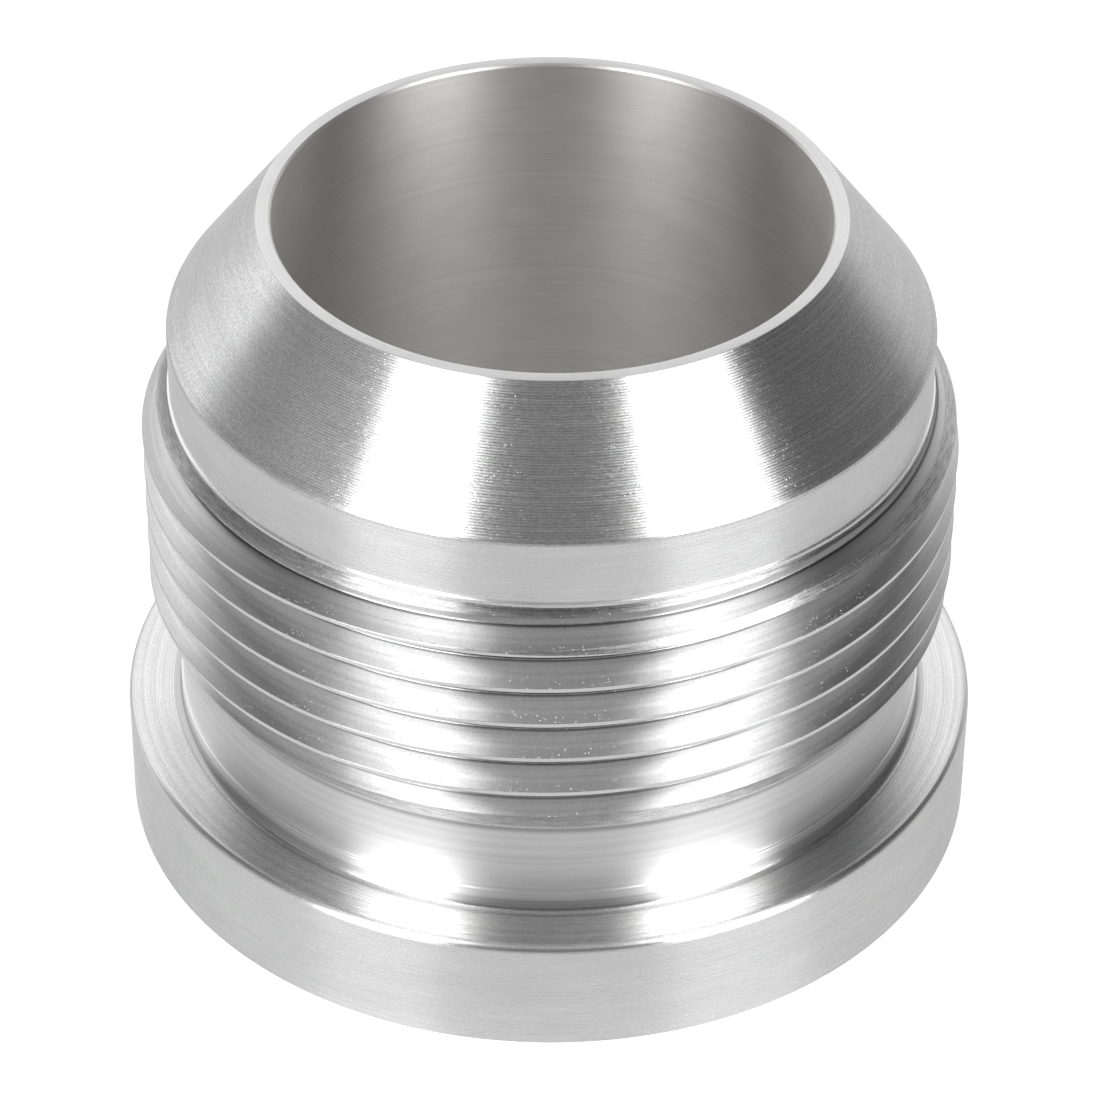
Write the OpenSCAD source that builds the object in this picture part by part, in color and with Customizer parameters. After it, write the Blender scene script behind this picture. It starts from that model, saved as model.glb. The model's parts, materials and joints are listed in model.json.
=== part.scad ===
// Weld-on fitting: a male 37 degree flare end with a straight thread, turned in one piece
// with the round flange that is welded into a hole. The base stands on z = 0 and the
// axis of the bore is the z axis. Sizes are in millimetres.

/* [Bore and rim] */
// Diameter of the bore, which goes right through
bore_d = 27.6; // [20:0.1:34]
// Width of the flat rim round the bore, at the top of the cone
rim_w = 0.75; // [0.5:0.05:2]
// Width of the chamfer that breaks each end of the bore
bore_break = 0.12; // [0.05:0.01:0.2]

/* [Flare cone and nose] */
// Angle between the cone and the axis
flare_angle = 37; // [30:1:45]
// Diameter of the plain nose below the cone
nose_d = 38.3; // [37.4:0.1:42]
// Length of the plain nose
nose_len = 3.4; // [2:0.1:6]
// Radius of the edge between cone and nose
nose_round = 0.4; // [0.1:0.05:0.8]

/* [Thread] */
// Diameter over the crests
thread_d = 41.2; // [39:0.05:43]
// Number of threads in an inch
threads_per_inch = 12; // [12:1:20]
// Length from the nose to the last full crest
thread_len = 11.55; // [9:0.05:16]
// Angle between a flank and a plane square to the axis
flank_angle = 30; // [27.5:0.5:30]
// Flat of the crest, as a share of the pitch
crest_share = 0.125; // [0.1:0.005:0.2]
// Depth of the thread, as a share of the pitch
depth_share = 0.6134; // [0.5:0.005:0.62]
// Direction, from the axis, in which the middle of the groove is level with the end of the nose
start_turn = 66; // [0:1:359]
// Width of the ledge between the nose and the first chamfer
start_ledge = 0.25; // [0.1:0.05:0.4]
// Width of the ledge between the last chamfer and the undercut
end_ledge = 0.35; // [0.1:0.05:0.6]
// Angle between the axis and the chamfers at both ends of the thread
end_angle = 30; // [20:1:45]
// Length below the last full crest at which the threading tool is clear of the work
tool_exit = 1.7; // [1.2:0.05:3]
// Part of a turn in which the tool is drawn out
exit_turn = 0.3; // [0.1:0.05:0.6]

/* [Undercut] */
// Diameter of the undercut below the thread
undercut_d = 38.3; // [37:0.1:42]
// Length from the last full crest to the flange
undercut_len = 7.55; // [5:0.05:12]
// Step of the last pass beside the flange, on the radius
collar_step = 0.13; // [0.05:0.01:0.3]
// Height of that last pass
collar_h = 1.2; // [0.6:0.1:2]
// Radius of the fillet between the undercut and the flange
fillet_r = 0.35; // [0.1:0.05:0.5]

/* [Flange] */
// Diameter of the flange
flange_d = 44.1; // [43:0.1:50]
// Thickness of the flange
flange_t = 6.3; // [4:0.1:12]
// Radius of the flange's upper edge
flange_round = 0.35; // [0.1:0.05:0.8]
// Width of the chamfer on the flange's lower edge
base_break = 0.25; // [0.1:0.05:0.6]

/* [Hidden] */
$fn = 180;

bore_r = bore_d / 2;
rim_r = bore_r + rim_w;
nose_r = nose_d / 2;
thread_r = thread_d / 2;
undercut_r = undercut_d / 2;
collar_r = undercut_r + collar_step;
flange_r = flange_d / 2;

// Chamfers at the two ends of the thread, each from the crest to a small ledge
start_r = min(nose_r + start_ledge, thread_r);
start_h = (thread_r - start_r) / tan(end_angle);
end_r = min(undercut_r + end_ledge, thread_r);
end_h = (thread_r - end_r) / tan(end_angle);

// Heights, from the base up
flange_top = flange_t;
last_crest = flange_top + undercut_len;
thread_bottom = last_crest - end_h;
nose_bottom = last_crest + thread_len;
cone_bottom = nose_bottom + nose_len;
height = cone_bottom + (nose_r - rim_r) / tan(flare_angle);

// Fillet at the flange, where the flange's top is wide enough to hold it
collar_fillet = min(fillet_r, flange_r - flange_round - collar_r);

// Thread groove: its section is widest outside the crests and flat at the root
pitch = 25.4 / threads_per_inch;
thread_depth = depth_share * pitch;
root_r = thread_r - thread_depth;
crest_gap = (1 - crest_share) * pitch;
root_gap = crest_gap - 2 * thread_depth * tan(flank_angle);
groove_over = 0.15;
mouth_gap = crest_gap + 2 * groove_over * tan(flank_angle);
steps_per_turn = 48;
exit_steps = exit_turn * steps_per_turn;
groove_high = nose_bottom + mouth_gap;
groove_low = last_crest - tool_exit;
groove_steps = ceil((groove_high - groove_low) / pitch * steps_per_turn);

// Half section of the flange and the undercut, with sharp corners and no bore
function flange_section() = [
    [0, 0],
    [flange_r - base_break, 0],
    [flange_r, base_break],
    [flange_r, flange_top],
    [collar_r, flange_top],
    [collar_r, flange_top + collar_h],
    [undercut_r, flange_top + collar_h],
    [undercut_r, thread_bottom],
    [0, thread_bottom]
];

// Half section of the length that is threaded, before its groove is cut
function thread_section() = [
    [0, thread_bottom],
    [end_r, thread_bottom],
    if (end_h > 0) [thread_r, last_crest],
    [thread_r, nose_bottom - start_h],
    if (start_h > 0) [start_r, nose_bottom],
    [0, nose_bottom]
];

// Half section of the plain nose and the cone
function nose_section() = [
    [0, nose_bottom],
    [nose_r, nose_bottom],
    [nose_r, cone_bottom],
    [rim_r, height],
    [0, height]
];

// What a round of radius r takes off a square outer corner at [x, y]
module corner_waste(x, y, r) {
    difference() {
        translate([x - r, y - r]) square(2 * r);
        translate([x - r, y - r]) circle(r);
        translate([x - 2 * r, y - 2 * r]) square([r, 3 * r]);
        translate([x - 2 * r, y - 2 * r]) square([3 * r, r]);
    }
}

// What a fillet of radius r adds in a square inner corner at [x, y]
module corner_fill(x, y, r) {
    difference() {
        translate([x, y]) square(r);
        translate([x + r, y + r]) circle(r);
    }
}

// What a round of radius r takes off the corner where the cone meets the nose
module nose_waste(r) {
    reach = r * tan(flare_angle / 2);
    centre = [nose_r - r, cone_bottom - reach];
    on_cone = [nose_r - reach * sin(flare_angle), cone_bottom + reach * cos(flare_angle)];
    difference() {
        polygon([on_cone, [nose_r, cone_bottom], [nose_r, centre.y]]);
        translate(centre) circle(r);
    }
}

module flange_and_undercut() {
    rotate_extrude() {
        difference() {
            polygon(flange_section());
            corner_waste(flange_r, flange_top, flange_round);
        }
        if (collar_fillet > 0) corner_fill(collar_r, flange_top, collar_fillet);
    }
}

module nose_and_cone() {
    rotate_extrude() difference() {
        polygon(nose_section());
        nose_waste(nose_round);
    }
}

// Corners of the groove's section at step i, from the outside top round to the outside bottom.
// Over the first steps the section lies further out, as the tool is drawn clear of the work.
function groove_ring(i) =
    let (middle = groove_low + i / steps_per_turn * pitch,
         angle = start_turn + 360 * (middle - nose_bottom) / pitch,
         clear = max(0, 1 - i / exit_steps) * (thread_depth + groove_over))
    [for (corner = [[thread_r + groove_over, mouth_gap / 2], [root_r, root_gap / 2],
                    [root_r, -root_gap / 2], [thread_r + groove_over, -mouth_gap / 2]])
        [(corner.x + clear) * cos(angle), (corner.x + clear) * sin(angle), middle + corner.y]];

// The right-hand helical groove that the threading tool cuts, from above the undercut to the nose
module thread_groove() {
    points = [for (i = [0:groove_steps]) each groove_ring(i)];
    last = 4 * groove_steps;
    sides = [for (i = [0:groove_steps - 1], k = [0:3])
        let (a = 4 * i + k, b = 4 * i + (k + 1) % 4)
        each [[a, b, b + 4], [a, b + 4, a + 4]]];
    polyhedron(points, concat([[3, 2, 1], [3, 1, 0]], sides,
        [[last, last + 1, last + 2], [last, last + 2, last + 3]]));
}

module threaded_length() {
    difference() {
        rotate_extrude() polygon(thread_section());
        thread_groove();
    }
}

// The bore, with the chamfers that break its two ends
module bore_waste() {
    translate([0, 0, -1]) cylinder(h = height + 2, r = bore_r);
    for (end = [0, height])
        translate([0, 0, end])
            mirror([0, 0, end == 0 ? 1 : 0])
                translate([0, 0, -bore_break])
                    cylinder(h = 2 * bore_break, r1 = bore_r, r2 = bore_r + 2 * bore_break);
}

module fitting_body() {
    color("gainsboro")
    difference() {
        union() {
            flange_and_undercut();
            threaded_length();
            nose_and_cone();
        }
        bore_waste();
    }
}

fitting_body();
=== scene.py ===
import json
import math

import bpy
from mathutils import Matrix, Vector


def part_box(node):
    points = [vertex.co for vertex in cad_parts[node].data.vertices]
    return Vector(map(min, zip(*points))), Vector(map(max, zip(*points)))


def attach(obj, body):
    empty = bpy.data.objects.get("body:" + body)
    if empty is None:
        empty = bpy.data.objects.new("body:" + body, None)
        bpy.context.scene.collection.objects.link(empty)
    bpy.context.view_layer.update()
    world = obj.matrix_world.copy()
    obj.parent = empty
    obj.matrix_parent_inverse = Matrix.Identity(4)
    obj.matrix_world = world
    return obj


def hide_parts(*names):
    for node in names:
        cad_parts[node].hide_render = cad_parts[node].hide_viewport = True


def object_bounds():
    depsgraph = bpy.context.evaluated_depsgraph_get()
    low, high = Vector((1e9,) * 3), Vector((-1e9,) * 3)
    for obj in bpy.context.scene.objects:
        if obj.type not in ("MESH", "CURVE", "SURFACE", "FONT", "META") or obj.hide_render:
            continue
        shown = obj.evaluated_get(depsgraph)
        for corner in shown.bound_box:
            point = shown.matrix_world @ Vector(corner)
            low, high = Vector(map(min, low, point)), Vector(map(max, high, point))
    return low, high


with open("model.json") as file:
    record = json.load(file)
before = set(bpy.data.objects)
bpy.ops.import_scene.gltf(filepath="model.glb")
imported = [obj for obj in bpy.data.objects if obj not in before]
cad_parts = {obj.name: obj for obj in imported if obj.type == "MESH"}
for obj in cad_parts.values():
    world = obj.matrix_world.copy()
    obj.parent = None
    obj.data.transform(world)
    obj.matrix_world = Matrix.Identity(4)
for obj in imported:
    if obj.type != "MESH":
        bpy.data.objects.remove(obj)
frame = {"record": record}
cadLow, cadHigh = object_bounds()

mm = 0.001
micrometre = 1e-6
touching = 1e-7                # metres within which two points are one
roundStep = 15                 # degrees turned by each step of a rounded corner


# Small helpers for modelling

def deselectAll():
    if bpy.context.object and bpy.context.object.mode != "OBJECT":
        bpy.ops.object.mode_set(mode="OBJECT")
    bpy.ops.object.select_all(action="DESELECT")


def activate(piece):
    deselectAll()
    piece.select_set(True)
    bpy.context.view_layer.objects.active = piece


def pickVertices(piece, test):
    # leaves edit mode on, with only the vertices selected that pass the test
    bpy.ops.object.mode_set(mode="EDIT")
    bpy.ops.mesh.select_mode(type="VERT")
    bpy.ops.mesh.select_all(action="DESELECT")
    bpy.ops.object.mode_set(mode="OBJECT")
    for vertex in piece.data.vertices:
        vertex.select = test(vertex.co)
    bpy.ops.object.mode_set(mode="EDIT")


def drawOutline(name, corners):
    # corners are (radius, height, rounding) in millimetres, in the XZ plane
    deselectAll()
    bpy.ops.mesh.primitive_plane_add(size=1)
    piece = bpy.context.object
    piece.name = name
    bpy.ops.object.mode_set(mode="EDIT")
    bpy.ops.mesh.merge(type="CENTER")
    places = [Vector((radius * mm, 0, height * mm)) for radius, height, _ in corners]
    bpy.ops.transform.translate(value=places[0])
    for last, place in zip(places, places[1:]):
        bpy.ops.mesh.extrude_region_move(TRANSFORM_OT_translate={"value": place - last})
    pickVertices(piece, lambda co: min((co - places[0]).length, (co - places[-1]).length) < touching)
    bpy.ops.mesh.edge_face_add()
    bpy.ops.mesh.select_all(action="SELECT")
    bpy.ops.mesh.edge_face_add()
    for i, (_, _, rounding) in enumerate(corners):
        if rounding:
            into = places[i] - places[i - 1]
            out = places[(i + 1) % len(places)] - places[i]
            turn = into.angle(out)
            pickVertices(piece, lambda co: (co - places[i]).length < touching)
            bpy.ops.mesh.bevel(offset=rounding * mm * math.tan(turn / 2), affect="VERTICES",
                               segments=max(2, round(math.degrees(turn) / roundStep)), profile=0.5)
    bpy.ops.mesh.select_all(action="SELECT")
    bpy.ops.mesh.delete(type="ONLY_FACE")
    bpy.ops.mesh.select_all(action="SELECT")
    return piece


# The fitting, turned in one piece

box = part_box("fitting_body")
mounts = {mount["name"]: mount for mount in frame["record"]["mounts"]}

turnedFitting = {
    # millimetres and degrees, with heights measured from the base
    "flangeRadius": box[1].x / mm,
    "height": box[1].z / mm,
    "boreRadius": mounts["bore"]["dims"]["r_mm"],
    "boreBreak": 0.12,
    "rimWidth": 0.75,
    "flareAngle": 37,
    "noseRadius": 19.15,
    "noseRound": 0.4,
    "noseBottom": 25.4,
    "startLedge": 0.1,         # below the nose, and then an upright land above the first chamfer
    "startLand": 0.18,
    "startAngle": 37,          # of the first chamfer, from the axis
    "threadRadius": 20.6,
    "pitch": 25.4 / 12,
    "depthShare": 0.6134,      # of the pitch
    "crestShare": 0.105,
    "flankAngle": 30,
    "rootRound": 0.12,
    "startTurn": 66,           # direction in which the groove's middle is level with the nose's end
    "toolExit": 1.7,           # length below the last crest at which the tool is clear
    "exitTurn": 0.3,           # part of a turn in which it is drawn out
    "lastCrest": 13.85,
    "endAngle": 30,
    "endLedge": 0.35,
    "endLand": 0.1,
    "undercutRadius": 19.15,
    "collarStep": 0.13,
    "collarHeight": 1.2,
    "filletRadius": 0.35,
    "flangeTop": 6.3,
    "flangeRound": 0.45,
    "baseBreak": 0.1,
    "edgeRound": 0.05,         # on turned edges, and a finer one on the ledges
    "ledgeRound": 0.02,
    "cutterReach": 0.2,        # how far the cutter stands out past the crests, and how far it widens
    "cutterFlare": 0.08,
    "lipReach": 0.005,         # the first step of that widening, nearly flat on the crest
    "lipFlare": 0.05,
    "spinSteps": 360,          # round the axis
    "grooveSteps": 240,        # to a turn
    "smoothAngle": 20,
}


def blankOutline(s):
    edge, ledge = s["edgeRound"], s["ledgeRound"]
    bore, flange, nose = s["boreRadius"], s["flangeRadius"], s["noseRadius"]
    thread, undercut = s["threadRadius"], s["undercutRadius"]
    collar = undercut + s["collarStep"]
    top, height = s["flangeTop"], s["height"]
    rim = bore + s["rimWidth"]
    coneBottom = height - (nose - rim) / math.tan(math.radians(s["flareAngle"]))
    startRadius = nose + s["startLedge"]
    endRadius = undercut + s["endLedge"]
    startHeight = s["startLand"] + (thread - startRadius) / math.tan(math.radians(s["startAngle"]))
    endHeight = (thread - endRadius) / math.tan(math.radians(s["endAngle"]))
    return [
        (bore, s["boreBreak"], edge / 2),
        (bore + s["boreBreak"], 0, edge),
        (flange - s["baseBreak"], 0, edge),
        (flange, s["baseBreak"], edge),
        (flange, top, s["flangeRound"]),
        (collar, top, s["filletRadius"]),
        (collar, top + s["collarHeight"], edge),
        (undercut, top + s["collarHeight"], edge),
        (undercut, s["lastCrest"] - endHeight - s["endLand"], edge * 2),
        (endRadius, s["lastCrest"] - endHeight - s["endLand"], 0),
        (endRadius, s["lastCrest"] - endHeight, ledge),
        (thread, s["lastCrest"], edge),
        (thread, s["noseBottom"] - startHeight, edge),
        (startRadius, s["noseBottom"] - s["startLand"], ledge),
        (startRadius, s["noseBottom"], ledge),
        (nose, s["noseBottom"], edge / 2),
        (nose, coneBottom, s["noseRound"]),
        (rim, height, edge),
        (bore + s["boreBreak"], height, edge),
        (bore, height - s["boreBreak"], edge / 2),
    ]


def grooveOutline(s):
    # section of the groove that the threading tool cuts, with heights from its middle
    depth = s["depthShare"] * s["pitch"]
    thread = s["threadRadius"]
    gap = (1 - s["crestShare"]) * s["pitch"] / 2
    rootGap = gap - depth * math.tan(math.radians(s["flankAngle"]))
    upper = [
        (thread + s["cutterReach"], gap + s["cutterFlare"], 0),
        (thread + s["lipReach"], gap + s["lipFlare"], 0),
        (thread, gap, 0),
        (thread - depth, rootGap, s["rootRound"]),
    ]
    return upper + [(radius, -height, rounding) for radius, height, rounding in reversed(upper)]


def turnBlank(s):
    blank = drawOutline("turnedFitting", blankOutline(s))
    bpy.ops.mesh.spin(steps=s["spinSteps"], angle=2 * math.pi, center=(0, 0, 0), axis=(0, 0, 1))
    bpy.ops.mesh.select_all(action="SELECT")
    bpy.ops.mesh.remove_doubles(threshold=touching)
    bpy.ops.mesh.normals_make_consistent(inside=False)
    bpy.ops.object.mode_set(mode="OBJECT")
    return blank


def threadCutter(s):
    cutter = drawOutline("threadCutter", grooveOutline(s))
    bpy.ops.object.mode_set(mode="OBJECT")
    ring = len(cutter.data.vertices)
    low = s["lastCrest"] - s["toolExit"]
    high = s["noseBottom"] + s["pitch"]
    turns = (high - low) / s["pitch"]
    steps = round(turns * s["grooveSteps"])
    screw = cutter.modifiers.new("screw", "SCREW")
    screw.axis = "Z"
    screw.angle = 2 * math.pi * turns
    screw.screw_offset = (high - low) * mm
    screw.steps = screw.render_steps = steps
    screw.iterations = 1
    screw.use_merge_vertices = False
    activate(cutter)
    bpy.ops.object.modifier_apply(modifier="screw")
    # over the first part of a turn the tool comes out of the work
    exitSteps = s["exitTurn"] * s["grooveSteps"]
    clearance = (s["depthShare"] * s["pitch"] + s["cutterReach"]) * mm
    for index, vertex in enumerate(cutter.data.vertices):
        share = max(0, 1 - (index // ring) / exitSteps)
        radius = math.hypot(vertex.co.x, vertex.co.y)
        grow = (radius + share * clearance) / radius
        vertex.co.x *= grow
        vertex.co.y *= grow
    turn = math.radians(s["startTurn"]) + 2 * math.pi * (low - s["noseBottom"]) / s["pitch"]
    cutter.data.transform(Matrix.Translation((0, 0, low * mm)) @ Matrix.Rotation(turn, 4, "Z"))
    bpy.ops.object.mode_set(mode="EDIT")
    bpy.ops.mesh.select_all(action="SELECT")
    bpy.ops.mesh.fill_holes(sides=0)
    bpy.ops.mesh.select_all(action="SELECT")
    bpy.ops.mesh.normals_make_consistent(inside=False)
    bpy.ops.object.mode_set(mode="OBJECT")
    return cutter


def cutThread(blank, cutter):
    cut = blank.modifiers.new("threadGroove", "BOOLEAN")
    cut.operation = "DIFFERENCE"
    cut.solver = "EXACT"
    cut.object = cutter
    activate(blank)
    bpy.ops.object.modifier_apply(modifier="threadGroove")
    bpy.data.objects.remove(cutter)


fitting = turnBlank(turnedFitting)
print("blank turned:", len(fitting.data.polygons), "faces")
cutThread(fitting, threadCutter(turnedFitting))
print("thread cut:", len(fitting.data.polygons), "faces")
bpy.ops.object.shade_smooth_by_angle(angle=math.radians(turnedFitting["smoothAngle"]))
weighted = fitting.modifiers.new("weightedNormals", "WEIGHTED_NORMAL")
weighted.keep_sharp = True
activate(fitting)
bpy.ops.object.modifier_apply(modifier="weightedNormals")
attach(fitting, "root")
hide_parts("fitting_body")


# Node groups and materials

firstColour, secondColour, mixedColour = 6, 7, 2   # sockets of a Mix node that mixes colours


def addNode(tree, kind, **values):
    node = tree.nodes.new(kind)
    for name, value in values.items():
        setattr(node, name, value)
    return node


def mathNode(tree, operation, *inputs):
    node = addNode(tree, "ShaderNodeMath", operation=operation)
    for i, value in enumerate(inputs):
        if isinstance(value, (int, float)):
            node.inputs[i].default_value = value
        else:
            tree.links.new(value, node.inputs[i])
    return node.outputs[0]


def newGroup(name, inputs, outputs):
    tree = bpy.data.node_groups.new(name, "ShaderNodeTree")
    for socketName, kind in inputs:
        tree.interface.new_socket(socketName, in_out="INPUT", socket_type=kind)
    for socketName, kind in outputs:
        tree.interface.new_socket(socketName, in_out="OUTPUT", socket_type=kind)
    return tree, addNode(tree, "NodeGroupInput"), addNode(tree, "NodeGroupOutput")


def mapNode(tree, value, low, high, outLow=0.0, outHigh=1.0, smooth=False):
    node = addNode(tree, "ShaderNodeMapRange", interpolation_type="SMOOTHSTEP" if smooth else "LINEAR")
    node.inputs["From Min"].default_value = low
    node.inputs["From Max"].default_value = high
    node.inputs["To Min"].default_value = outLow
    node.inputs["To Max"].default_value = outHigh
    tree.links.new(value, node.inputs["Value"])
    return node.outputs[0]


def addAll(tree, values):
    total = values[0]
    for value in values[1:]:
        total = mathNode(tree, "ADD", total, value)
    return total


ringSettings = {
    "fineRings": 11.0,         # rings to a millimetre
    "fineDetail": 1.0,
    "fineHarshness": 0.5,
    "toneRings": 3.2,
    "toneDetail": 3.0,
    "toneHarshness": 0.75,
    "streakRings": 14.0,       # broken streaks
    "streakDetail": 0.0,
    "cloudTurn": 5.0,
    "cloudRings": 0.7,
    "cloudDetail": 3.0,
    "grainScale": 8500.0,      # to a metre
    "grainDetail": 1.0,
    "pitScale": 6500.0,
    "pitSize": 0.24,           # share of a cell
    "pitShare": 0.5,           # share of the cells that hold a pit
    "fineShare": 0.9,          # share of the fine rings in the change of roughness
    "noiseRange": (0.3, 0.7),  # values of a noise that become 0 and 1
}

# inputs of the group that a zone sets, with their names in the zone
markInputs = {
    "Across": "across", "Along": "along", "Feed": "feed", "Streak Turn": "streakTurn",
    "Feed Depth": "feedDepth", "Ring Depth": "ringDepth", "Streak Depth": "streakDepth",
    "Pit Depth": "pitDepth", "Feed Shade": "feedShade", "Ring Shade": "ringShade",
    "Streak Shade": "streakShade", "Cloud Shade": "cloudShade", "Grain Shade": "grainShade",
}


def makeRingMarks(s):
    # rings left by the tool: regular feed marks, finer random rings, broken streaks and small pits
    tree, given, result = newGroup(
        "ringMarks",
        [("Point", "NodeSocketVector")] + [(name, "NodeSocketFloat") for name in (*markInputs, "Seed")],
        [(name, "NodeSocketFloat") for name in ("Height", "Shade", "Rings", "Radius", "Level")])
    split = addNode(tree, "ShaderNodeSeparateXYZ")
    tree.links.new(given.outputs["Point"], split.inputs[0])
    x, y, z = split.outputs
    radius = mathNode(tree, "SQRT", mathNode(tree, "ADD", mathNode(tree, "MULTIPLY", x, x),
                                             mathNode(tree, "MULTIPLY", y, y)))
    radiusInMm = mathNode(tree, "MULTIPLY", radius, 1 / mm)
    levelInMm = mathNode(tree, "MULTIPLY", z, 1 / mm)
    # distance along the section, in millimetres
    path = mathNode(tree, "ADD", mathNode(tree, "MULTIPLY", radiusInMm, given.outputs["Across"]),
                    mathNode(tree, "MULTIPLY", levelInMm, given.outputs["Along"]))
    turned = mathNode(tree, "ADD", path, given.outputs["Seed"])
    sideX = mathNode(tree, "DIVIDE", x, radius)
    sideY = mathNode(tree, "DIVIDE", y, radius)

    def ringNoise(around, scale, detail):
        # noise that is long round the axis and short across it
        place = addNode(tree, "ShaderNodeCombineXYZ")
        tree.links.new(mathNode(tree, "MULTIPLY", sideX, around), place.inputs[0])
        tree.links.new(mathNode(tree, "MULTIPLY", sideY, around), place.inputs[1])
        tree.links.new(mathNode(tree, "MULTIPLY", turned, scale), place.inputs[2])
        noise = addNode(tree, "ShaderNodeTexNoise")
        noise.inputs["Scale"].default_value = 1.0
        noise.inputs["Detail"].default_value = detail
        tree.links.new(place.outputs[0], noise.inputs["Vector"])
        return mapNode(tree, noise.outputs["Fac"], *s["noiseRange"])

    def fullRings(scale, detail, harshness):
        # noise that runs unbroken round the axis
        noise = addNode(tree, "ShaderNodeTexNoise", noise_dimensions="1D")
        noise.inputs["Scale"].default_value = scale
        noise.inputs["Detail"].default_value = detail
        noise.inputs["Roughness"].default_value = harshness
        tree.links.new(turned, noise.inputs["W"])
        return mapNode(tree, noise.outputs["Fac"], *s["noiseRange"])

    fine = fullRings(s["fineRings"], s["fineDetail"], s["fineHarshness"])
    tone = fullRings(s["toneRings"], s["toneDetail"], s["toneHarshness"])
    broken = ringNoise(given.outputs["Streak Turn"], s["streakRings"], s["streakDetail"])
    clouds = ringNoise(s["cloudTurn"], s["cloudRings"], s["cloudDetail"])
    wave = mathNode(tree, "SINE", mathNode(tree, "MULTIPLY", 2 * math.pi,
                                           mathNode(tree, "DIVIDE", turned, given.outputs["Feed"])))
    ridge = mathNode(tree, "ADD", mathNode(tree, "MULTIPLY", wave, 0.5), 0.5)
    speckle = addNode(tree, "ShaderNodeTexNoise")
    speckle.inputs["Scale"].default_value = s["grainScale"]
    speckle.inputs["Detail"].default_value = s["grainDetail"]
    tree.links.new(given.outputs["Point"], speckle.inputs["Vector"])
    grain = mapNode(tree, speckle.outputs["Fac"], *s["noiseRange"])
    cells = addNode(tree, "ShaderNodeTexVoronoi")
    cells.inputs["Scale"].default_value = s["pitScale"]
    tree.links.new(given.outputs["Point"], cells.inputs["Vector"])
    chance = addNode(tree, "ShaderNodeSeparateColor")
    tree.links.new(cells.outputs["Color"], chance.inputs[0])
    held = mathNode(tree, "LESS_THAN", chance.outputs[0], s["pitShare"])
    pits = mathNode(tree, "MULTIPLY", mapNode(tree, cells.outputs["Distance"], s["pitSize"], 0.0), held)

    def weighed(*marks):
        return addAll(tree, [mathNode(tree, "MULTIPLY", mark, given.outputs[name]) for mark, name in marks])

    height = weighed((wave, "Feed Depth"), (fine, "Ring Depth"), (broken, "Streak Depth"),
                     (pits, "Pit Depth"))
    loss = weighed((ridge, "Feed Shade"), (tone, "Ring Shade"), (broken, "Streak Shade"),
                   (clouds, "Cloud Shade"), (grain, "Grain Shade"))
    tree.links.new(height, result.inputs["Height"])
    tree.links.new(mathNode(tree, "SUBTRACT", 1.0, loss), result.inputs["Shade"])
    mixed = mathNode(tree, "ADD", mathNode(tree, "MULTIPLY", fine, s["fineShare"]),
                     mathNode(tree, "MULTIPLY", broken, 1 - s["fineShare"]))
    tree.links.new(mixed, result.inputs["Rings"])
    tree.links.new(radiusInMm, result.inputs["Radius"])
    tree.links.new(levelInMm, result.inputs["Level"])
    return tree


ringMarks = makeRingMarks(ringSettings)

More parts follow.
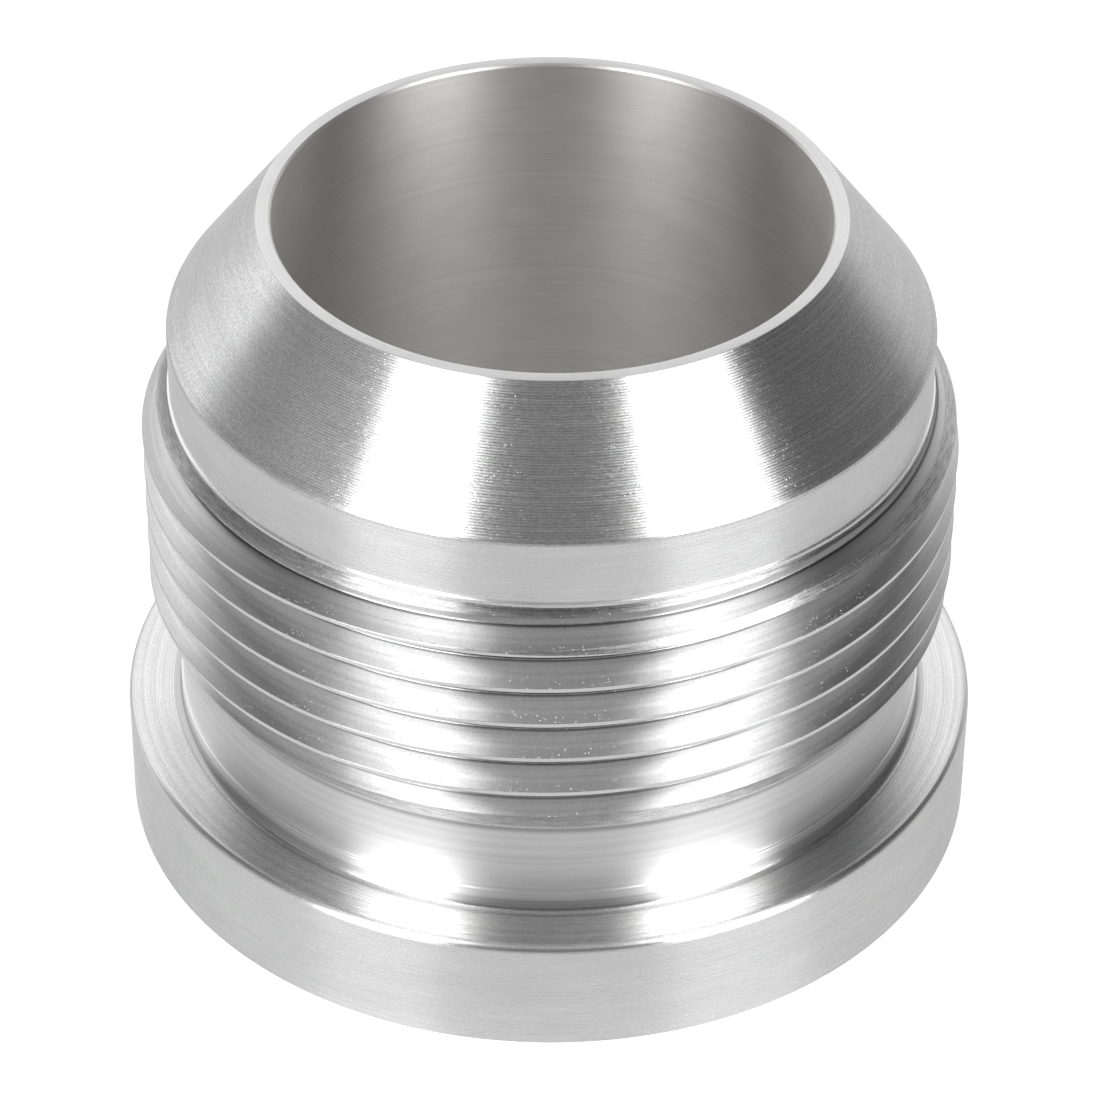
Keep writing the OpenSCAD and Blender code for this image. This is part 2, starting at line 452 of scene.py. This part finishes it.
# what differs from zone to zone: across and along turn the section into a path over the surface,
# depths of marks are in micrometres, and a band of painted shade is (its shade, where it holds),
# where each place is (radius or level, full, gone) in millimetres
plainZone = {
    "across": 0.0, "along": 1.0, "tone": (0.97, 0.97, 0.97), "roughness": 0.27, "spread": 0.02,
    "anisotropy": 0.95, "feed": 0.13, "feedDepth": 0.4, "ringDepth": 0.3, "streakDepth": 0.1,
    "streakTurn": 6.0, "pitDepth": 0.0, "feedShade": 0.0, "ringShade": 0.04, "streakShade": 0.005,
    "cloudShade": 0.06, "grainShade": 0.03, "pitBand": None, "paintedShadeBands": [], "worn": False,
}
# the tones of the zones differ as painted light: the bore, the rim and the flange's top have darker tones
# as painted shade, and the cone and the crests lighter ones as painted highlight
zones = {
    "boreWall": {"tone": (0.83, 0.822, 0.80), "roughness": 0.42, "anisotropy": 0.82, "feed": 0.16,
                 "feedDepth": 1.0, "ringDepth": 1.2, "streakDepth": 0.8, "streakTurn": 3.0,
                 "feedShade": 0.02, "ringShade": 0.06, "streakShade": 0.03, "cloudShade": 0.06},
    "rimFace": {"across": 1.0, "along": 0.0, "tone": (0.78, 0.78, 0.78), "roughness": 0.36,
                "anisotropy": 0.8, "ringShade": 0.2},
    "coneFace": {"across": 0.6, "along": -0.8, "tone": (1.0, 1.0, 1.0), "roughness": 0.27, "spread": 0.03,
                 "anisotropy": 0.9, "feed": 0.135, "feedDepth": 1.7, "ringDepth": 0.5, "streakDepth": 0.15,
                 "pitDepth": 4.5, "feedShade": 0.10, "ringShade": 0.08, "streakShade": 0.02,
                 "cloudShade": 0.08, "grainShade": 0.22},
    "noseWall": {"feed": 0.12, "cloudShade": 0.09, "grainShade": 0.03, "worn": True},
    "threadFlank": {"across": 1.0, "along": 0.0, "roughness": 0.30, "anisotropy": 0.97, "ringDepth": 0.7,
                    "streakDepth": 0.3, "pitDepth": 11.0, "pitBand": ("radius", 19.8, 20.3),
                    "ringShade": 0.15, "streakShade": 0.02, "grainShade": 0.11, "worn": True,
                    # painted shade: the roots of the grooves, the first turn under the nose and the outer
                    # part of each flank are darkened
                    "paintedShadeBands": [(0.13, [("radius", 19.31, 19.48), ("level", 23.3, 23.9)]),
                              (0.3, [("radius", 19.38, 19.52), ("radius", 19.325, 19.312),
                                     ("level", 23.9, 23.3)]),
                              (0.72, [("level", 23.4, 22.4)]),
                              (0.8, [("radius", 20.3, 20.05)])]},
    "threadCrest": {"tone": (0.99, 0.99, 0.99), "roughness": 0.24, "pitDepth": 4.0, "cloudShade": 0.03,
                    "worn": True},
    "threadChamfer": {"across": 1.0, "along": 0.0, "roughness": 0.34, "spread": 0.08, "anisotropy": 0.8,
                      "ringDepth": 3.0, "streakDepth": 4.0, "streakTurn": 24.0, "pitDepth": 8.0,
                      "ringShade": 0.14, "streakShade": 0.22, "grainShade": 0.2,
                      # painted shade: the chamfer darkens towards the nose above it
                      "paintedShadeBands": [(0.55, [("level", 25.0, 24.2)])], "worn": True},
    "undercutWall": {"roughness": 0.30, "anisotropy": 0.93, "feed": 0.2, "feedDepth": 0.8, "ringDepth": 1.7,
                     "streakDepth": 0.6, "pitDepth": 2.0, "ringShade": 0.13, "streakShade": 0.03,
                     # painted shade: the wall darkens under the ledge, and down in the corner by the collar
                     # and the flange's top
                     "paintedShadeBands": [(0.6, [("level", 11.42, 11.12)]), (0.72, [("level", 6.9, 7.12)])]},
    "flangeTop": {"across": 1.0, "along": 0.0, "tone": (0.92, 0.92, 0.92), "roughness": 0.27,
                  "spread": 0.05, "anisotropy": 0.9, "feedDepth": 1.6, "ringDepth": 1.2,
                  "streakDepth": 0.3, "pitDepth": 4.5, "feedShade": 0.10, "ringShade": 0.16,
                  "streakShade": 0.01, "grainShade": 0.08,
                  # painted shade in the inner corner, where the flange's top meets the collar
                  "paintedShadeBands": [(0.7, [("radius", 19.62, 19.75)])]},
    "flangeWall": {"feed": 0.15, "ringShade": 0.025, "cloudShade": 0.07, "grainShade": 0.02},
    "baseFace": {"across": 1.0, "along": 0.0, "roughness": 0.38, "feedDepth": 2.0, "ringDepth": 3.0,
                 "feedShade": 0.10, "ringShade": 0.10, "grainShade": 0.06},
}


wornEdge = {
    "radius": 0.06,            # millimetres
    "samples": 4,
}

seedStep = 17.3                # keeps the marks of the zones apart
quarterTurn = 0.25             # lays the gloss along the rings


def turnedFinish(name, zone, seed):
    material = bpy.data.materials.new(name)
    material.use_nodes = True
    tree = material.node_tree
    shader = tree.nodes["Principled BSDF"]
    shader.inputs["Metallic"].default_value = 1.0
    shader.inputs["Anisotropic"].default_value = zone["anisotropy"]
    shader.inputs["Anisotropic Rotation"].default_value = quarterTurn
    tangent = addNode(tree, "ShaderNodeTangent", direction_type="RADIAL", axis="Z")
    tree.links.new(tangent.outputs[0], shader.inputs["Tangent"])
    place = addNode(tree, "ShaderNodeTexCoord")
    marks = addNode(tree, "ShaderNodeGroup", node_tree=ringMarks)
    tree.links.new(place.outputs["Object"], marks.inputs["Point"])
    for socket, key in markInputs.items():
        marks.inputs[socket].default_value = zone[key]
    marks.inputs["Seed"].default_value = seed
    if zone["pitBand"]:
        # where the pits lie comes from a second copy of the group, because a group can't feed itself
        measure = addNode(tree, "ShaderNodeGroup", node_tree=ringMarks)
        tree.links.new(place.outputs["Object"], measure.inputs["Point"])
        where, start, end = zone["pitBand"]
        tree.links.new(mapNode(tree, measure.outputs[where.capitalize()], start, end, 0.0,
                               zone["pitDepth"], True), marks.inputs["Pit Depth"])
    bump = addNode(tree, "ShaderNodeBump")
    if zone["worn"]:
        # the sharp edges of the thread catch the light as if they were slightly worn
        worn = addNode(tree, "ShaderNodeBevel", samples=wornEdge["samples"])
        worn.inputs["Radius"].default_value = wornEdge["radius"] * mm
        tree.links.new(worn.outputs[0], bump.inputs["Normal"])
    bump.inputs["Strength"].default_value = 1.0
    bump.inputs["Distance"].default_value = micrometre
    tree.links.new(marks.outputs["Height"], bump.inputs["Height"])
    tree.links.new(bump.outputs[0], shader.inputs["Normal"])
    shade = marks.outputs["Shade"]
    # painted shade: each band darkens the base colour over the places where it holds
    for low, places in zone["paintedShadeBands"]:
        loss = 1 - low
        for where, full, gone in places:
            held = mapNode(tree, marks.outputs[where.capitalize()], full, gone, 1.0, 0.0, True)
            loss = mathNode(tree, "MULTIPLY", held, loss)
        shade = mathNode(tree, "MULTIPLY", shade, mathNode(tree, "SUBTRACT", 1.0, loss))
    colour = addNode(tree, "ShaderNodeMix", data_type="RGBA", blend_type="MULTIPLY")
    colour.inputs[0].default_value = 1.0
    colour.inputs[firstColour].default_value = (*zone["tone"], 1)
    tree.links.new(shade, colour.inputs[secondColour])
    tree.links.new(colour.outputs[mixedColour], shader.inputs["Base Color"])
    tree.links.new(mapNode(tree, marks.outputs["Rings"], 0.0, 1.0, zone["roughness"] - zone["spread"],
                           zone["roughness"] + zone["spread"]), shader.inputs["Roughness"])
    return material


zoneLimits = {
    # millimetres, and parts of a normal
    "skin": 0.02,              # how far the middle of a face may lie off its own surface
    "boreReach": 0.2,          # the chamfers of the bore, from its wall
    "edgeReach": 0.2,          # the round of the flange, from its top
    "filletShare": 0.7,        # part of the fillet that goes with the flange's top
    "crestReach": 0.1,
    "chamferSlopes": (0.35, 0.7),
    "noseTop": 28.7,
    "rimReach": 0.04,
    "facing": 0.5,             # a face looks inwards or down past this
}


def zoneOf(centre, normal):
    s, limits = turnedFitting, zoneLimits
    away = math.hypot(centre.x, centre.y)
    radius, height = away / mm, centre.z / mm
    outwards = (centre.x * normal.x + centre.y * normal.y) / away
    offBore = radius - s["boreRadius"]
    if offBore < limits["skin"] or (outwards < -limits["facing"] and offBore < limits["boreReach"]):
        return "boreWall"
    if height < limits["skin"] and normal.z < -limits["facing"]:
        return "baseFace"
    if height < s["flangeTop"] - limits["edgeReach"]:
        return "flangeWall"
    if height < s["flangeTop"] + s["filletRadius"] * limits["filletShare"]:
        return "flangeTop"
    if height < s["lastCrest"] and radius < s["undercutRadius"] + s["endLedge"] - limits["skin"]:
        return "undercutWall"
    onNose = radius < s["noseRadius"] + 2 * s["startLedge"] and height > s["noseBottom"] - s["startLand"]
    if onNose and height < limits["noseTop"]:
        return "noseWall"
    if height < s["noseBottom"]:
        gentle, steep = limits["chamferSlopes"]
        if abs(normal.z) < gentle and radius > s["threadRadius"] - limits["crestReach"]:
            return "threadCrest"
        return "threadChamfer" if gentle < abs(normal.z) < steep else "threadFlank"
    if height > s["height"] - limits["rimReach"]:
        return "rimFace"
    return "coneFace"


zoneIndex = {}
for i, (name, zone) in enumerate(zones.items()):
    fitting.data.materials.append(turnedFinish(name, {**plainZone, **zone}, seedStep * i))
    zoneIndex[name] = i
for face in fitting.data.polygons:
    face.material_index = zoneIndex[zoneOf(face.center, face.normal)]
print("finishes set:", len(zones))


# Floor, studio light and camera

studio = {
    # metres, and degrees from the camera's side, growing to its right
    "panelDistance": 0.5,
    "leftPanel": (-56, -26.5),
    "rightPanel": (30.4, 64.4),
    "panelLow": 0.02,
    "panelHigh": 1.1,
    "panelGlow": 3.9,
    "floorSize": 6,
    "floorTone": 0.33,
    "floorWhite": 0.85,        # its glow to the camera, and to mirrored and refracted rays
    "floorGloss": 0.28,
    # brightness of the room by direction, from the camera round to the left and right, in degrees
    "roomLow": [(-180, 1.0), (-130, 0.95), (-118, 0.94), (-112, 0.5), (-108, 0.24), (-95, 0.23),
                (-80, 0.38), (-66, 0.5), (-27, 0.11), (66, 0.11), (75, 0.07), (121, 0.07), (129, 0.25),
                (135, 0.48), (141, 0.66), (148, 0.8), (160, 0.92), (180, 1.0)],
    "roomHigh": [(-180, 1.0), (-133, 0.97), (-126, 0.9), (-121, 0.5), (-117, 0.12), (-107, 0.05),
                 (-90, 0.08), (-76, 0.10), (-66, 0.25), (-58, 0.36), (-27, 0.12), (66, 0.12),
                 (75, 0.05), (118, 0.05), (127, 0.13), (133, 0.36), (138, 0.7), (144, 0.86), (180, 1.0)],
    "roomTop": [(-180, 0.3), (-117, 0.12), (-110, 0.3), (-100, 0.5), (-93, 0.9), (-80, 1.1), (-70, 0.6),
                (-50, 0.46), (0, 0.42), (50, 0.46), (70, 0.6), (80, 1.1), (93, 0.9), (100, 0.5),
                (106, 0.25), (112, 0.05), (130, 0.05), (180, 0.3)],
    "roomGain": 1.2,
    # the sines of the elevations over which one ring of the room passes into the next
    "passes": [("roomHigh", 0.42, 0.62), ("roomTop", 0.74, 0.88)],
}


def direction(azimuth, elevation):
    # azimuth 0 is the camera's side, and it grows to the camera's right
    a, e = math.radians(azimuth), math.radians(elevation)
    return Vector((math.sin(a) * math.cos(e), -math.cos(a) * math.cos(e), math.sin(e)))


def makePanel(name, edges, s):
    # an upright soft panel that stands between two directions
    lamp = bpy.data.lights.new(name, "AREA")
    lamp.shape = "RECTANGLE"
    lamp.size = 2 * s["panelDistance"] * math.tan(math.radians((edges[1] - edges[0]) / 2))
    lamp.size_y = s["panelHigh"] - s["panelLow"]
    lamp.energy = s["panelGlow"] * math.pi * lamp.size * lamp.size_y
    holder = bpy.data.objects.new(name, lamp)
    bpy.context.scene.collection.objects.link(holder)
    way = direction((edges[0] + edges[1]) / 2, 0)
    holder.location = way * s["panelDistance"] + Vector((0, 0, (s["panelHigh"] + s["panelLow"]) / 2))
    holder.rotation_euler = way.to_track_quat("Z", "Y").to_euler()


def makeFloor(s):
    deselectAll()
    bpy.ops.mesh.primitive_plane_add(size=s["floorSize"], location=(0, 0, 0))
    floor = bpy.context.object
    floor.name = "floor"
    bpy.ops.object.transform_apply()
    material = bpy.data.materials.new("paleFloor")
    material.use_nodes = True
    tree = material.node_tree
    shader = tree.nodes["Principled BSDF"]
    shader.inputs["Base Color"].default_value = (s["floorTone"],) * 3 + (1,)
    shader.inputs["Roughness"].default_value = 1.0
    shader.inputs["Specular IOR Level"].default_value = 0.0
    rays = addNode(tree, "ShaderNodeLightPath")
    seen = mathNode(tree, "MULTIPLY", rays.outputs["Is Camera Ray"], s["floorWhite"])
    mirrored = mathNode(tree, "MULTIPLY",
                        mathNode(tree, "MAXIMUM", rays.outputs["Is Glossy Ray"],
                                 rays.outputs["Is Transmission Ray"]), s["floorGloss"])
    tree.links.new(mathNode(tree, "ADD", seen, mirrored), shader.inputs["Emission Strength"])
    shader.inputs["Emission Color"].default_value = (1, 1, 1, 1)
    floor.data.materials.append(material)


def makeRoom(s):
    # the camera sees white, and everything else a room whose brightness changes with direction
    world = bpy.data.worlds.new("studioRoom")
    bpy.context.scene.world = world
    world.use_nodes = True
    tree = world.node_tree
    background = tree.nodes["Background"]
    place = addNode(tree, "ShaderNodeTexCoord")
    split = addNode(tree, "ShaderNodeSeparateXYZ")
    tree.links.new(place.outputs["Generated"], split.inputs[0])
    turn = mathNode(tree, "ARCTAN2", split.outputs[0], mathNode(tree, "MULTIPLY", split.outputs[1], -1.0))
    share = mathNode(tree, "ADD", mathNode(tree, "DIVIDE", turn, 2 * math.pi), 0.5)

    def roomRing(stops):
        ramp = addNode(tree, "ShaderNodeValToRGB")
        while len(ramp.color_ramp.elements) < len(stops):
            ramp.color_ramp.elements.new(0.5)
        for stop, (azimuth, level) in zip(ramp.color_ramp.elements, stops):
            stop.position = azimuth / 360 + 0.5
            stop.color = (level, level, level, 1)
        tree.links.new(share, ramp.inputs[0])
        return ramp.outputs[0]

    room = roomRing(s["roomLow"])
    for name, low, high in s["passes"]:
        levels = addNode(tree, "ShaderNodeMix", data_type="RGBA")
        tree.links.new(mapNode(tree, split.outputs[2], low, high), levels.inputs[0])
        tree.links.new(room, levels.inputs[firstColour])
        tree.links.new(roomRing(s[name]), levels.inputs[secondColour])
        room = levels.outputs[mixedColour]
    rays = addNode(tree, "ShaderNodeLightPath")
    white = addNode(tree, "ShaderNodeMix", data_type="RGBA")
    white.inputs[secondColour].default_value = (1, 1, 1, 1)
    tree.links.new(rays.outputs["Is Camera Ray"], white.inputs[0])
    tree.links.new(room, white.inputs[firstColour])
    tree.links.new(white.outputs[mixedColour], background.inputs["Color"])
    tree.links.new(mapNode(tree, rays.outputs["Is Camera Ray"], 0.0, 1.0, s["roomGain"], 1.0),
                   background.inputs["Strength"])


viewpoint = {
    "rimDistance": 0.225011,   # metres from the middle of the rim, and degrees above it
    "rimElevation": 32.810,
    "pitch": 37.044,           # degrees below the horizon
    "roll": 0.4264,
    "lens": 150.12,            # millimetres, as is the sensor
    "sensor": 36,
    "clipStart": 0.01,
}


def makeCamera(s):
    data = bpy.data.cameras.new("camera")
    data.lens = s["lens"]
    data.sensor_width = s["sensor"]
    data.clip_start = s["clipStart"]
    camera = bpy.data.objects.new("camera", data)
    bpy.context.scene.collection.objects.link(camera)
    rimCentre = Vector((0, 0, cadHigh.z))
    camera.location = rimCentre + direction(0, s["rimElevation"]) * s["rimDistance"]
    tilt = Matrix.Rotation(math.radians(90 - s["pitch"]), 4, "X")
    camera.rotation_euler = (tilt @ Matrix.Rotation(math.radians(s["roll"]), 4, "Z")).to_euler()
    bpy.context.scene.camera = camera


makeFloor(studio)
makePanel("leftPanel", studio["leftPanel"], studio)
makePanel("rightPanel", studio["rightPanel"], studio)
makeRoom(studio)
makeCamera(viewpoint)
bpy.context.scene.view_settings.view_transform = "Standard"
print("studio ready")
